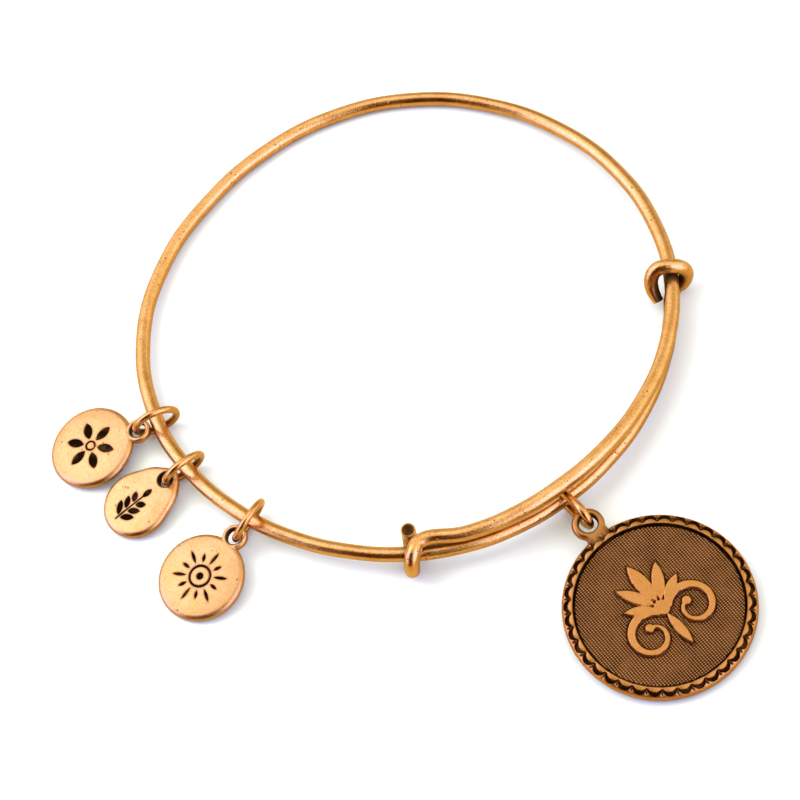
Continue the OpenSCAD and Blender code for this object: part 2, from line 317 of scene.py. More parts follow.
def makePatinaAndShade():
    # Brown-black tarnish and painted shade where the amount is high, broken up by clouds
    group, source, result = newGroup(
        "patinaAndPaintedShade",
        [("Metal", "Color"), ("TarnishAndPaintedShade", "Color"), ("Amount", "Float"), ("Clouds", "Float")],
        [("Color", "Color"), ("Mask", "Float")])
    broken = mathNode(group, "MULTIPLY_ADD", source.outputs["Clouds"], *wear["broken"])
    mask = mathNode(group, "MULTIPLY", source.outputs["Amount"], broken, clamp=True)
    color = mixColor(group, mask, source.outputs["Metal"], source.outputs["TarnishAndPaintedShade"])
    group.links.new(color, result.inputs["Color"])
    group.links.new(mask, result.inputs["Mask"])
    return group


castSkin = makeCastSkin()
drawnLines = makeDrawnLines()
patinaAndPaintedShade = makePatinaAndShade()

# bright and shade are the two metal tones that grain and clouds mix
# the dark colour of each finish goes where there is tarnish and painted shade
finishes = {
    "wireGold": {
        "bright": (0.90, 0.49, 0.15), "shade": (0.63, 0.265, 0.024),
        "tarnishAndPaintedShade": (0.080, 0.031, 0.004), "rough": (0.17, 0.27), "coat": 1.0,
        "pits": 1.0, "bump": 0.060, "lines": 0.010},
    "ringGold": {
        "bright": (0.85, 0.44, 0.12), "shade": (0.62, 0.265, 0.035),
        "tarnishAndPaintedShade": (0.050, 0.019, 0.003), "rough": (0.17, 0.27), "coat": 0.9,
        "pits": 0.5, "bump": 0.030},
    "charmGold": {
        "bright": (0.85, 0.465, 0.175), "shade": (0.69, 0.295, 0.045),
        "tarnishAndPaintedShade": (0.020, 0.008, 0.002), "rough": (0.26, 0.38), "coat": 0.9,
        "pits": 1.0, "bump": 0.040},
    "medallionBronze": {
        "bright": (0.66, 0.300, 0.078), "shade": (0.525, 0.214, 0.042),
        "tarnishAndPaintedShade": (0.034, 0.010, 0.001), "rough": (0.27, 0.38), "coat": 0.3,
        "pits": 0.5, "bump": 0.030},
}


def makeFinish(name):
    values = finishes[name]
    material = bpy.data.materials.new(name)
    material.use_nodes = True
    tree = material.node_tree
    shader = tree.nodes["Principled BSDF"]
    place = tree.nodes.new("ShaderNodeTexCoord")
    skin = groupNode(tree, castSkin)
    skin.inputs["Pits"].default_value = values["pits"]
    tree.links.new(place.outputs["Object"], skin.inputs["Vector"])
    clouds = skin.outputs["Clouds"]

    mottle = mathNode(tree, "MULTIPLY_ADD", skin.outputs["Grain"], wear["grainShare"],
                      mathNode(tree, "MULTIPLY", clouds, wear["cloudShare"]))
    # the attribute holds tarnish and painted shade, baked at each point
    worn = tree.nodes.new("ShaderNodeAttribute")
    worn.attribute_name = "patinaAndPaintedShade"
    pits = mathNode(tree, "MULTIPLY", skin.outputs["Pits"], wear["pitDark"])
    dark = groupNode(tree, patinaAndPaintedShade)
    dark.inputs["TarnishAndPaintedShade"].default_value = (*values["tarnishAndPaintedShade"], 1)
    tree.links.new(mixColor(tree, mottle, values["shade"], values["bright"]), dark.inputs["Metal"])
    tree.links.new(mathNode(tree, "MAXIMUM", worn.outputs["Fac"], pits), dark.inputs["Amount"])
    tree.links.new(clouds, dark.inputs["Clouds"])
    tree.links.new(dark.outputs["Color"], shader.inputs["Base Color"])

    mask = dark.outputs["Mask"]
    low, high = values["rough"]
    rough = mathNode(tree, "MAXIMUM", mathNode(tree, "MULTIPLY_ADD", clouds, high - low, low),
                     mathNode(tree, "MULTIPLY", mask, wear["tarnishAndShadeRough"]))
    tree.links.new(rough, shader.inputs["Roughness"])
    shader.inputs["Metallic"].default_value = 1
    # clear lacquer, gone where the metal is dark
    clear = mathNode(tree, "MULTIPLY_ADD", mask, -values["coat"], values["coat"])
    tree.links.new(clear, shader.inputs["Coat Weight"])
    shader.inputs["Coat Roughness"].default_value = wear["lacquerRough"]
    shader.inputs["Coat IOR"].default_value = wear["lacquerIor"]

    relief = bumpNode(tree, skin.outputs["Height"], values["bump"])
    if "lines" in values:
        lines = groupNode(tree, drawnLines)
        tree.links.new(place.outputs["UV"], lines.inputs["Vector"])
        under, relief = relief, bumpNode(tree, lines.outputs["Height"], values["lines"])
        tree.links.new(under.outputs["Normal"], relief.inputs["Normal"])
    tree.links.new(relief.outputs["Normal"], shader.inputs["Normal"])
    return material


materials = {name: makeFinish(name) for name in finishes}
print("finishes made")


# Shared ways of making and laying pieces

def eased(t):
    t = max(0, min(1, t))
    return t * t * (3 - 2 * t)


def rising(value, start, end):
    return max(0, (value - start) / (end - start))


def shaded(value, dark, full, gone):
    # tarnish and painted shade: dark where the value is at full, easing off to where it is gone
    return dark * eased((gone - value) / (gone - full))


def polar(turn, radius, height):
    a = math.radians(turn)
    return Vector((radius * math.cos(a), -radius * math.sin(a), height))


def layFlat(turn, reach, swing, tilt, radius, thick):
    # lays a disc on the ground, tilted on its far edge
    edge = thick / 2
    t = math.radians(tilt)
    lift = (radius - edge) * math.sin(t) + edge * (1 - math.cos(t))
    return (Matrix.Scale(mm, 4)
            @ Matrix.Translation(polar(turn, reach, lift))
            @ Matrix.Rotation(math.radians(90 - turn + swing), 4, "Z")
            @ Matrix.Rotation(t, 4, "X"))


def addPiece(name, mesh, finish, node):
    mesh.materials.clear()
    mesh.materials.append(materials[finish])
    piece = bpy.data.objects.new(name, mesh)
    scene.collection.objects.link(piece)
    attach(piece, "root")
    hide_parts(node)


def toMesh(name, bm, place, patinaAndShadeOf=None, sharp=40):
    # the function passed in gives the tarnish and painted shade at a point, before the piece is
    # laid in place
    bmesh.ops.recalc_face_normals(bm, faces=bm.faces)
    layer = bm.verts.layers.float.new("patinaAndPaintedShade")
    if patinaAndShadeOf:
        for v in bm.verts:
            v[layer] = patinaAndShadeOf(v.co)
    for f in bm.faces:
        f.smooth = True
    for e in bm.edges:
        e.smooth = e.calc_face_angle(0) < math.radians(sharp)
    bmesh.ops.transform(bm, matrix=place, verts=bm.verts)
    return plainMesh(name, bm)


def fillHoles(bm):
    bmesh.ops.holes_fill(bm, edges=[e for e in bm.edges if e.is_boundary])


def sweptTube(name, points, radii, sides, steps, closed=False):
    # sides is the curve's bevel resolution, steps are between two points
    curve = bpy.data.curves.new(name, "CURVE")
    curve.dimensions = "3D"
    curve.bevel_depth = 1
    curve.bevel_resolution = sides
    curve.resolution_u = steps
    spline = curve.splines.new("BEZIER")
    spline.bezier_points.add(len(points) - 1)
    for p, place, radius in zip(spline.bezier_points, points, radii):
        p.co = place
        p.handle_left_type = p.handle_right_type = "AUTO"
        p.radius = radius
    spline.use_cyclic_u = closed
    obj = bpy.data.objects.new(name, curve)
    scene.collection.objects.link(obj)
    shape = obj.evaluated_get(bpy.context.evaluated_depsgraph_get())
    mesh = bpy.data.meshes.new_from_object(shape)
    bpy.data.objects.remove(obj)
    bm = bmesh.new()
    bm.from_mesh(mesh)
    bmesh.ops.remove_doubles(bm, verts=bm.verts, dist=weld["tube"])
    fillHoles(bm)
    return bm


# Bangle wire

bangle = {
    "wireR": 0.9,
    "ringR": 32.8,
    # turn, stray outwards, height of the wire's middle
    "coil": [
        (22, 0.12, 1.20), (30, 0.14, 1.30), (45, 0.21, 1.55), (58, 0.30, 1.80),
        (70, 0.45, 2.10), (84, 0.62, 2.55), (95, 0.56, 2.80), (105, 0.36, 2.90),
        (116, 0.02, 2.85), (130, -0.28, 2.65), (145, -0.40, 2.38), (160, -0.26, 2.15),
        (175, -0.02, 2.00), (196, 0.13, 1.70), (216, -0.13, 1.38), (234, -0.42, 1.10),
        (252, -0.21, 0.94), (270, 0.12, 0.90), (288, 0.16, 0.98), (306, -0.10, 1.20),
        (324, -0.28, 1.60), (342, -0.19, 2.12), (360, 0.08, 2.70), (375, 0.40, 3.15),
        (390, 0.50, 3.75), (405, 0.50, 4.55), (418, 0.47, 5.15), (430, 0.38, 5.38),
        (442, 0.34, 5.12), (452, 0.20, 4.90)],
    # a loop goes round the stretch one lap on or back, by angles from, to and step; spans say
    # at which angles it begins to stray along that stretch, or to open, and where it is there
    # the last entry of a loop is painted shade and tarnish where it holds the wire: how dark, and
    # where it is full and gone, by the distance from that wire's middle
    "loop1": {
        "turn": 13.1, "lap": 360, "angles": (-42, 258, 30), "gap": 0.12, "open": 0.5,
        "reach": 2.8, "reachSpan": (60, -42), "reachPower": 1.8,
        "foot": 0.7, "footSpan": (180, 258), "tarnishAndPaintedShade": (0.8, 1.4, 2.3)},
    "loop2": {
        "turn": 463.9, "lap": -360, "angles": (78, 390, 26), "gap": 0.13, "open": 0.9,
        "openSpan": (270, 392), "entry": 1.1, "entrySpan": (180, 78), "entryPower": 2,
        "drift": 0.3, "driftFrom": 180, "driftRate": 0.75, "tarnishAndPaintedShade": (0.8, 0.7, 1.6)},
    "tipRun": 5.5,
    "tipShare": 0.72,
    "sides": 10, "steps": 12,
    "endBevel": 0.12, "endSegments": 4,
    "burr": ((0.07, 0), (0.09, -0.06)),  # insets of a cut end: width, depth
    "dents": 0.012,
    "dentNoise": ((0.35, 1, (0, 0, 0)), (1.1, 0.6, (7, 3, 1))),  # scale, share, shift
    "endTarnish": (0.9, 16 / 22, 21 / 22),  # by the distance from a cut end, in radii
    "innerShadeAndTarnish": (0.95, -0.45, 0),  # painted shade and tarnish inside the first loop, by the distance past the loop's own middle, in radii
    "innerTurns": (-4, 8),
    "heldSkin": 0.06,
}


def coilAt(turn):
    rows = bangle["coil"]
    for low, high in zip(rows, rows[1:]):
        if low[0] <= turn <= high[0]:
            share = (turn - low[0]) / (high[0] - low[0])
            return [a + (b - a) * share for a, b in zip(low, high)]


def beside(turn, centre, along=0, out=0, up=0):
    radius = bangle["ringR"] + centre[1]
    return polar(turn + math.degrees(along / radius), radius + out, centre[2] + up)


def loopPoints(loop, openAt, alongAt):
    centre = coilAt(loop["turn"] + loop["lap"])
    low, high, step = loop["angles"]
    points = []
    for a in range(low, high + 1, step):
        c, s = math.cos(math.radians(a)), math.sin(math.radians(a))
        r = 2 * bangle["wireR"] + loop["gap"] + loop["open"] * openAt(a)
        points.append(beside(loop["turn"], centre, alongAt(a), -r * c, r * s))
    return points


def bangleRoute():
    first, second = bangle["loop1"], bangle["loop2"]

    def firstOpen(a):
        return max(0, math.cos(math.radians(a)))

    def firstAlong(a):
        return (first["reach"] * rising(a, *first["reachSpan"]) ** first["reachPower"]
                + first["foot"] * rising(a, *first["footSpan"]))

    def secondOpen(a):
        return rising(a, *second["openSpan"])

    def secondAlong(a):
        drift = math.radians(second["driftRate"] * max(0, a - second["driftFrom"]))
        return (second["drift"] * math.sin(drift)
                - second["entry"] * rising(a, *second["entrySpan"]) ** second["entryPower"])

    coil = [polar(turn, bangle["ringR"] + stray, height) for turn, stray, height in bangle["coil"]]
    return (loopPoints(first, firstOpen, firstAlong) + coil
            + loopPoints(second, secondOpen, secondAlong))


def innerShadeAndPatina(co):
    # painted shade and tarnish on the side of the first loop that faces the wire it holds
    loop = bangle["loop1"]
    turn = math.degrees(math.atan2(-co.y, co.x)) % 360
    low, high = bangle["innerTurns"]
    if not low <= turn - loop["turn"] <= high:
        return 0
    centre = coilAt(turn + loop["lap"])
    out, up = co.xy.length - bangle["ringR"] - centre[1], co.z - centre[2]
    away = math.hypot(out, up)
    if away < bangle["wireR"] + bangle["heldSkin"]:
        return 0
    middle = 2 * bangle["wireR"] + loop["gap"] + loop["open"] * max(0, -out / away)
    return shaded((away - middle) / bangle["wireR"], *bangle["innerShadeAndTarnish"])


def makeBangle():
    points = bangleRoute()
    radii, run, tip = [], 0, bangle["tipShare"]
    for k, p in enumerate(points):
        run += (p - points[k - 1]).length if k else 0
        share = min(1, run / bangle["tipRun"])
        radii.append(bangle["wireR"] * (tip + (1 - tip) * math.sqrt(share * (2 - share))))
    bm = sweptTube("bangleWire", points, radii, bangle["sides"], bangle["steps"])

    # only the cut ends have more than four corners, and still so after the bevel
    edges = [e for f in bm.faces if len(f.verts) > 4 for e in f.edges]
    bmesh.ops.bevel(bm, geom=edges, offset=bangle["endBevel"], offset_type="OFFSET",
                    segments=bangle["endSegments"], profile=0.5, affect="EDGES", material=-1)
    for width, depth in bangle["burr"]:
        ends = [f for f in bm.faces if len(f.verts) > 8]
        bmesh.ops.inset_region(bm, faces=ends, thickness=width, depth=depth)
    bm.normal_update()
    for v in bm.verts:
        dent = sum(share * noise.noise(v.co * scale + Vector(shift))
                   for scale, share, shift in bangle["dentNoise"])
        v.co += v.normal * bangle["dents"] * dent

    ends = ((points[0], radii[0]), (points[-1], radii[-1]))
    held = [(beside(loop["turn"], coilAt(loop["turn"] + loop["lap"])), loop["tarnishAndPaintedShade"])
            for loop in (bangle["loop1"], bangle["loop2"])]

    def patinaAndShadeOf(co):
        # the cut ends are dark inside their burr, and the loops carry painted shade and tarnish
        # where they hold the wire
        dark = [innerShadeAndPatina(co)]
        dark += [shaded((co - end).length / r, *bangle["endTarnish"]) for end, r in ends]
        dark += [shaded((co - middle).length, *tarnishAndPaintedShade) for middle, tarnishAndPaintedShade in held]
        return max(dark)

    mesh = toMesh("bangleWire", bm, Matrix.Scale(mm, 4), patinaAndShadeOf)
    addPiece("bangleWire", mesh, "wireGold", "bangle_wire")


makeBangle()
print("bangle wire made")


# Rings and the long link

jumpRing = {"wireR": 0.45, "bendR": 2.65, "slit": 0.05, "sides": 20, "steps": 84}
ringPlaces = {
    # turn, distance from the bangle's middle, lean, and where the slit is, in radians
    "flower": (173.5, 32.85, -10, 4.5),
    "leaf": (160, 33, -17, 4.9),
    "sun": (140.2, 32.8, -20, 4.4),
}


def makeJumpRing(kind):
    turn, reach, lean, slitAt = ringPlaces[kind]
    wireR, bendR = jumpRing["wireR"], jumpRing["bendR"]
    bm = bmesh.new()
    bmesh.ops.create_circle(bm, cap_ends=False, radius=wireR, segments=jumpRing["sides"])
    bmesh.ops.rotate(bm, verts=bm.verts, matrix=Matrix.Rotation(math.pi / 2, 3, "X"))
    bmesh.ops.translate(bm, verts=bm.verts, vec=(bendR, 0, 0))
    slit = jumpRing["slit"] / bendR
    bmesh.ops.rotate(bm, verts=bm.verts, matrix=Matrix.Rotation(slitAt + slit, 3, "Z"))
    bmesh.ops.spin(bm, geom=bm.verts[:] + bm.edges[:], cent=(0, 0, 0), axis=(0, 0, 1),
                   angle=2 * math.pi - slit, steps=jumpRing["steps"], use_merge=False)
    fillHoles(bm)
    t = math.radians(lean)
    place = (Matrix.Scale(mm, 4)
             @ Matrix.Rotation(math.radians(-turn), 4, "Z")
             @ Matrix.Translation((reach, 0, bendR * math.cos(t) + wireR))
             @ Matrix.Rotation(math.pi / 2 + t, 4, "X"))
    name = kind + "CharmRing"
    addPiece(name, toMesh(name, bm, place), "ringGold", kind + "_charm_ring")


link = {
    "turn": 70.55, "wireR": 0.5, "innerWidth": 2.15, "length": 7.9, "slope": 20,
    "bendSteps": 12, "sides": 6, "steps": 4,
}


def makeLink():
    wireR, count = link["wireR"], link["bendSteps"]
    bend = link["innerWidth"] / 2 + wireR
    half = link["length"] / 2 - bend - wireR
    points = []
    for end, start in ((1, 0), (-1, math.pi)):
        for k in range(count + 1):
            a = math.radians(180 * k / count - 90) + start
            points.append(Vector((end * half + bend * math.cos(a), bend * math.sin(a), 0)))
    bm = sweptTube("medallionLink", points, [wireR] * len(points), link["sides"], link["steps"],
                   closed=True)
    reach = bangle["ringR"] + coilAt(link["turn"])[1]
    place = (Matrix.Scale(mm, 4)
             @ Matrix.Rotation(math.radians(-link["turn"]), 4, "Z")
             @ Matrix.Translation((reach, 0, bend + wireR))
             @ Matrix.Rotation(math.radians(-link["slope"]), 4, "Y")
             @ Matrix.Rotation(math.pi / 2, 4, "X")
             @ Matrix.Translation((half, 0, 0)))
    mesh = toMesh("medallionLink", bm, place)
    addPiece("medallionLink", mesh, "ringGold", "medallion_link")


for kind in ringPlaces:
    makeJumpRing(kind)
makeLink()
print("rings made")


# Shapes that the engraving and the relief are drawn with: signed distance, below 0 inside

def discDistance(x, y, cx, cy, r):
    return math.hypot(x - cx, y - cy) - r


def strokeDistance(x, y, ax, ay, bx, by, width):
    dx, dy = bx - ax, by - ay
    t = max(0, min(1, ((x - ax) * dx + (y - ay) * dy) / (dx * dx + dy * dy)))
    return math.hypot(x - ax - t * dx, y - ay - t * dy) - width / 2


def petalDistance(x, y, turn, foot, length, width, baseX=0, baseY=0):
    x, y = x - baseX, y - baseY
    c, s = math.cos(math.radians(-turn)), math.sin(math.radians(-turn))
    x, y = c * x - s * y, s * x + c * y - foot - length / 2
    sag = width / 2
    r = (length * length / 4 + sag * sag) / (2 * sag)
    return math.hypot(abs(x) + r - sag, y) - r


def bearing(x, y):
    # degrees from the direction of y
    return math.degrees(math.atan2(y, x)) - 90


flower = {
    "step": 60, "first": 30, "foot": 0.95, "length": 2.3, "width": 1.15,
    "ringR": 0.575, "ringHalf": 0.125,
}
sun = {
    "step": 30, "foot": 1.75, "lengths": (1.75, 1.1), "width": 0.42,
    "ringR": 1.3, "ringHalf": 0.15, "middleR": 0.45,
}
sprig = {
    "stem": (-3.0, 1.2, 0.22),  # foot, top, width
    "top": (1.1, 1.5, 0.75),  # foot, length, width
    "rows": 3, "firstAt": -2.5, "apart": 1.2,
    "turn": 44, "out": 0.2, "length": 1.9, "shorter": 0.25, "width": 0.8,
}


def flowerFigure(x, y):
    step, first = flower["step"], flower["first"]
    turn = round((bearing(x, y) - first) / step) * step + first  # of the nearest petal
    petal = petalDistance(x, y, turn, flower["foot"], flower["length"], flower["width"])
    return min(petal, abs(math.hypot(x, y) - flower["ringR"]) - flower["ringHalf"])


def sunFigure(x, y):
    k = round(bearing(x, y) / sun["step"])
    ray = petalDistance(x, y, sun["step"] * k, sun["foot"], sun["lengths"][k % 2], sun["width"])
    r = math.hypot(x, y)
    return min(ray, abs(r - sun["ringR"]) - sun["ringHalf"], r - sun["middleR"])


def sprigFigure(x, y):
    foot, top, width = sprig["stem"]
    nearest = strokeDistance(x, y, 0, foot, 0, top, width)
    foot, length, width = sprig["top"]
    nearest = min(nearest, petalDistance(x, y, 0, 0, length, width, 0, foot))
    for row in range(sprig["rows"]):
        length = sprig["length"] - sprig["shorter"] * row
        foot = sprig["firstAt"] + sprig["apart"] * row
        for side in (-1, 1):
            leaf = petalDistance(x, y, -side * sprig["turn"], 0, length, sprig["width"],
                                 side * sprig["out"], foot)
            nearest = min(nearest, leaf)
    return nearest


# Charm bodies

charm = {
    "r": 5.4,
    "thick": 1.3,
    "tilt": 8.5,
    "depth": 0.2,
    "wall": 0.11,  # how far an engraved edge slopes
    "fall": 0.09,  # how far the worn face falls towards its edge, and how steeply
    "fallPower": 3,
    "uneven": 0.025, "unevenScale": 0.4,
    "slack": 0.05,  # how far under its height the face still counts as the face
    "ringStep": 0.085, "steps": 240, "edgeSteps": 14, "underRings": 6,
    "lug": {"at": 6.2, "r": 1.55, "thick": 1.0, "hole": 0.95, "round": 0.3, "flare": 0.24,
            "neck": 0.75},
}
charmPlaces = {
    # turn, distance from the bangle's middle, swing
    "flower": (175.3, 41.3, -8.9),
    "leaf": (161.05, 39.86, -1.5),
    "sun": (142, 41.25, -6.5),
}
drop = {
    "r": 4.3, "middle": 1.0,
    "circles": ((0, 4.3), (2.3, 3.35), (4.7, 1.55)),  # place and radius, the outline goes round
    "holeAt": 4.6, "holeFlare": 0.2,
    "search": (1.0, 8.0), "halvings": 24,  # for the outline along a direction
    "directions": 180,
    "spread": 4,  # directions either side that each one is smoothed with
}
turned = {"discSteps": 64, "holeSteps": 48, "cornerSteps": 4, "past": 0.02}
charmTarnishAndShade = {
    # how dark, and the distances where it is full and where it is gone
    # painted shade and tarnish inside the lug's hole
    "hole": (0.85, 0.1, 0.3),
    "cut": (1, -0.055, 0.055),
    "worn": (0.35, 0, 0.3),  # brown rim round the engraving
    # painted shade, darker towards the rim of the face
    "edge": (0.15, 5.2, 3.2),
    # painted shade on the sides and underside, below the face
    "under": 0.25,
    "lugFrom": 2,  # before the middle of the hole
}
cornerTurns = [math.pi / 2 * k / turned["cornerSteps"] for k in range(turned["cornerSteps"] + 1)]


def spinProfile(bm, profile, steps):
    verts = [bm.verts.new((r, 0, z)) for r, z in profile]
    edges = [bm.edges.new(pair) for pair in zip(verts, verts[1:])]
    bmesh.ops.spin(bm, geom=verts + edges, cent=(0, 0, 0), axis=(0, 0, 1), angle=2 * math.pi,
                   steps=steps, use_merge=True)
    bmesh.ops.remove_doubles(bm, verts=bm.verts, dist=weld["lathe"])
    bmesh.ops.recalc_face_normals(bm, faces=bm.faces)


def spun(name, profile, steps, offset):
    bm = bmesh.new()
    spinProfile(bm, profile, steps)
    bmesh.ops.translate(bm, verts=bm.verts, vec=offset)
    return plainMesh(name, bm)


def roundedEdge(r, thick, count):
    # half circle from the top face down to the bottom face
    half = thick / 2
    turns = [math.pi * k / count for k in range(count + 1)]
    return [(r - half + half * math.sin(a), half + half * math.cos(a)) for a in turns]


def plateProfile():
    r, thick, under = charm["r"], charm["thick"], charm["underRings"]
    flat = r - thick / 2
    rings = round(flat / charm["ringStep"])
    top = [(flat * k / rings, thick) for k in range(rings)]
    bottom = [(flat * k / under, 0) for k in reversed(range(under))]
    return top + roundedEdge(r, thick, charm["edgeSteps"]) + bottom


def bothHalves(upper):
    # a profile and its mirror image under z = 0
    return upper + [(r, -z) for r, z in reversed(upper)]


def puckProfile(r, thick, soft):
    # disc with softly rounded corners
    half = thick / 2
    return bothHalves([(0, half)] + [
        (r - soft + soft * math.sin(a), half - soft + soft * math.cos(a)) for a in cornerTurns])


def holeProfile(r, thick, soft):
    # cutter that rounds both rims of the hole that it makes, and stands out a little past them
    half, out = thick / 2, r + 2 * soft
    return bothHalves([(0, thick), (out, thick), (out, half + turned["past"])] + [
        (r + soft - soft * math.sin(a), half - soft * (1 - math.cos(a))) for a in cornerTurns])


def carve(mesh, tool, operation):
    body = bpy.data.objects.new("body", mesh)
    cutter = bpy.data.objects.new("cutter", tool)
    for obj in (body, cutter):
        scene.collection.objects.link(obj)
    modifier = body.modifiers.new("carve", "BOOLEAN")
    modifier.operation = operation
    modifier.solver = "EXACT"
    modifier.object = cutter
    shape = body.evaluated_get(bpy.context.evaluated_depsgraph_get())
    done = bpy.data.meshes.new_from_object(shape)
    bpy.data.objects.remove(body)
    bpy.data.objects.remove(cutter)
    return done


def cleanedCopy(mesh):
    # a boolean leaves doubled points and slivers without area along its cuts
    bm = bmesh.new()
    bm.from_mesh(mesh)
    bmesh.ops.remove_doubles(bm, verts=bm.verts, dist=weld["carved"])
    bmesh.ops.dissolve_degenerate(bm, dist=weld["carved"], edges=bm.edges)
    return bm


def addHole(mesh, r, thick, flare, middle):
    hole = spun("hole", holeProfile(r, thick, flare), turned["holeSteps"], middle)
    return carve(mesh, hole, "DIFFERENCE")


def addLug(mesh, lug, bodyR, height):
    middle = (0, lug["at"], height)
    profile = puckProfile(lug["r"], lug["thick"], lug["round"])
    mesh = carve(mesh, spun("lug", profile, turned["discSteps"], middle), "UNION")
    bm = bmesh.new()
    bmesh.ops.create_cube(bm, size=1)
    long = lug["at"] - bodyR + 2 * height
    bmesh.ops.scale(bm, vec=(2 * lug["neck"] * lug["r"], long, lug["thick"]), verts=bm.verts)
    bmesh.ops.translate(bm, vec=(0, lug["at"] - long / 2, height), verts=bm.verts)
    bmesh.ops.bevel(bm, geom=bm.edges[:], offset=lug["round"], segments=turned["cornerSteps"],
                    profile=0.5, affect="EDGES", material=-1)
    mesh = carve(mesh, plainMesh("neck", bm), "UNION")
    return addHole(mesh, lug["hole"], lug["thick"], lug["flare"], middle)


def engrave(bm, figure):
    for v in bm.verts:
        if v.co.z > charm["thick"] - charm["fall"] - charm["slack"]:
            v.co.z -= charm["depth"] * eased(-figure(v.co.x, v.co.y) / charm["wall"])


def soften(bm):
    # worn face: it falls a little towards the edge and is not quite even
    r, thick, scale = charm["r"], charm["thick"], charm["unevenScale"]
    for v in bm.verts:
        if v.co.z > thick / 2:
            share = min(1, v.co.xy.length / (r - thick / 2))
            swell = noise.noise(Vector((v.co.x * scale, v.co.y * scale, r)))
            dip = charm["fall"] * share ** charm["fallPower"] + charm["uneven"] * swell
            v.co.z -= dip * (v.co.z / thick * 2 - 1)


def holeShadeAndPatina(co, at, r):
    # painted shade and tarnish inside a lug's hole
    return shaded(math.hypot(co.x, co.y - at) - r, *charmTarnishAndShade["hole"])


def capsule(x, y, low, r1, high, r2):
    # signed distance to the hull of two circles on the middle line
    x, y, h = abs(x), y - low, high - low
    b = (r1 - r2) / h
    a = math.sqrt(1 - b * b)
    k = a * y - b * x
    if k < 0:
        return math.hypot(x, y) - r1
    if k > a * h:
        return math.hypot(x, y - h) - r2
    return a * x + b * y - r1


def dropReach(angle):
    # distance from the middle of the drop to its outline, by halving
    (a, ra), (b, rb), (c, rc) = drop["circles"]
    near, far = drop["search"]
    for _ in range(drop["halvings"]):
        mid = (near + far) / 2
        x, y = mid * math.cos(angle), drop["middle"] + mid * math.sin(angle)
        inside = min(capsule(x, y, a, ra, b, rb), capsule(x, y, b, rb, c, rc),
                     capsule(x, y, a, ra, c, rc)) < 0
        near, far = (mid, far) if inside else (near, mid)
    return near


def shapeDrop(bm):
    # moves a round plate out and in, to the outline of the drop
    r, spread, count = charm["r"], drop["spread"], drop["directions"]
    reaches = [dropReach(math.radians(360 / count * k)) for k in range(count)]
    soft = [sum(reaches[(k + n) % count] for n in range(-spread, spread + 1)) / (2 * spread + 1)
            for k in range(count)]
    for v in bm.verts:
        own = math.hypot(v.co.x, v.co.y)
        if own < 1e-6:
            v.co.y += drop["middle"]
            continue
        angle = math.atan2(v.co.y, v.co.x)
        at = math.degrees(angle) % 360 / (360 / count)
        k = int(at)
        before, after = soft[k % count], soft[(k + 1) % count]
        outline = before + (after - before) * (at - k)
        reach = own + (outline - r) * min(1, own / (r - charm["thick"]))
        v.co.x, v.co.y = reach * math.cos(angle), drop["middle"] + reach * math.sin(angle)


def makeCharm(kind, figure):
    name = kind + "Charm"
    thick, lug, isDrop = charm["thick"], charm["lug"], kind == "leaf"
    bm = bmesh.new()
    spinProfile(bm, plateProfile(), charm["steps"])
    soften(bm)
    if isDrop:
        shapeDrop(bm)
    engrave(bm, figure)
    mesh = plainMesh(name, bm)
    if isDrop:
        radius, holeAt = drop["r"], drop["holeAt"]
        mesh = addHole(mesh, lug["hole"], thick, drop["holeFlare"], (0, holeAt, thick / 2))
    else:
        radius, holeAt = charm["r"], lug["at"]
        mesh = addLug(mesh, lug, radius, thick / 2)

    def patinaAndShadeOf(co):
        # dark in the engraving, with a worn brown rim round it; painted shade and tarnish in the
        # lug's hole, painted shade below the face and towards the rim
        if co.y > holeAt - charmTarnishAndShade["lugFrom"]:
            return holeShadeAndPatina(co, holeAt, lug["hole"])
        if co.z < thick - charm["depth"] - charm["slack"]:
            return charmTarnishAndShade["under"]
        away = figure(co.x, co.y)
        if away < charmTarnishAndShade["worn"][2]:
            return max(shaded(away, *charmTarnishAndShade["cut"]), shaded(away, *charmTarnishAndShade["worn"]))
        return shaded(co.xy.length, *charmTarnishAndShade["edge"])

    place = layFlat(*charmPlaces[kind], charm["tilt"], radius, thick)
    mesh = toMesh(name, cleanedCopy(mesh), place, patinaAndShadeOf)
    addPiece(name, mesh, "charmGold", kind + "_charm")


for kind, figure in (("flower", flowerFigure), ("leaf", sprigFigure), ("sun", sunFigure)):
    makeCharm(kind, figure)
print("small charms made")


# Medallion

medallion = {
    "r": 11.2,
    "thick": 1.7,
    "place": (70.55, 51.2, 1.1),  # turn, distance from the bangle's middle, swing
    "tilt": 6.25,
    "fieldR": 9.72,
    "fieldZ": 1.3,
    "pocketZ": 1.02,
    "wall": ((9.83, 1.02), (9.86, 1.25), (9.875, 1.64)),  # radius, height, from the pocket up
    "ringStep": 0.062, "edgeSteps": 30,
    "repeats": 38,
    "stepsEach": 22,
    "lug": {"at": 13, "r": 1.95, "thick": 1.2, "hole": 1.1, "round": 0.48, "flare": 0.3,
            "neck": 0.75},
}
border = {
    # half-moons are cut between scales that dome a little, with a short tick where two meet
    "from": 9.89, "to": 11.15,
    "scaleAt": 9.48, "scaleR": 0.97, "domeDepth": 0.07, "domeRun": 0.35,
    "moonAt": 10.17, "moonR": 0.82, "moonDepth": 0.34, "moonSlope": 0.09, "moonSpread": 0.2,
    "tickDepth": 0.18, "tickWidth": 0.16, "tickFrom": 10.1, "tickTo": 11.0, "tickFade": 0.25,
    "tickDark": 0.9,
    "scaleTarnish": (0.32, 9.85, 10.2),  # by the radius
}
